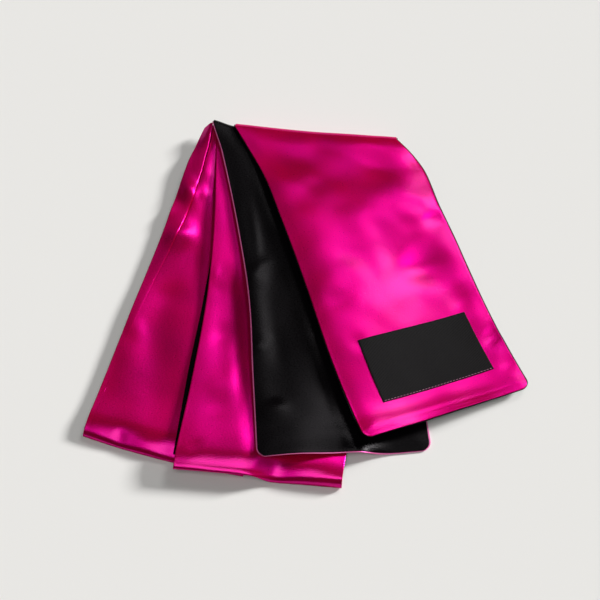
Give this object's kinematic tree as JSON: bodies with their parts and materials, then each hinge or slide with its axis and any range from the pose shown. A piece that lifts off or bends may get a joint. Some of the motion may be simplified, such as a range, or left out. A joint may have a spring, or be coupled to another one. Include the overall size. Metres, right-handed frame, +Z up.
{
  "type": "satin sash",
  "caption": "Satin sash, hot pink on one face and black on the other, folded to and fro in a fan, with a plain black woven label near one end.",
  "frame": {"origin": "middle of the folded sash in plan, on the surface it lies on", "axes": "+Z up, +X to the right across the fan, +Y toward the folds at its back"},
  "size_m": [0.2882, 0.2826, 0.0182],
  "materials": {
    "pink_satin": "shiny satin weave",
    "black_satin": "shiny satin weave",
    "woven_black": "matt woven label"
  },
  "bodies": {
    "root": {"top_stretch_front": "pink_satin", "top_stretch_back": "black_satin", "label": "woven_black", "end_stretch_front": "black_satin", "end_stretch_back": "pink_satin", "middle_stretch_front": "pink_satin", "middle_stretch_back": "black_satin", "return_stretch": "black_satin", "lower_stretch_front": "pink_satin", "lower_stretch_back": "black_satin", "inner_layers": "pink_satin", "base_stretch": "pink_satin"}
  },
  "joints": []
}
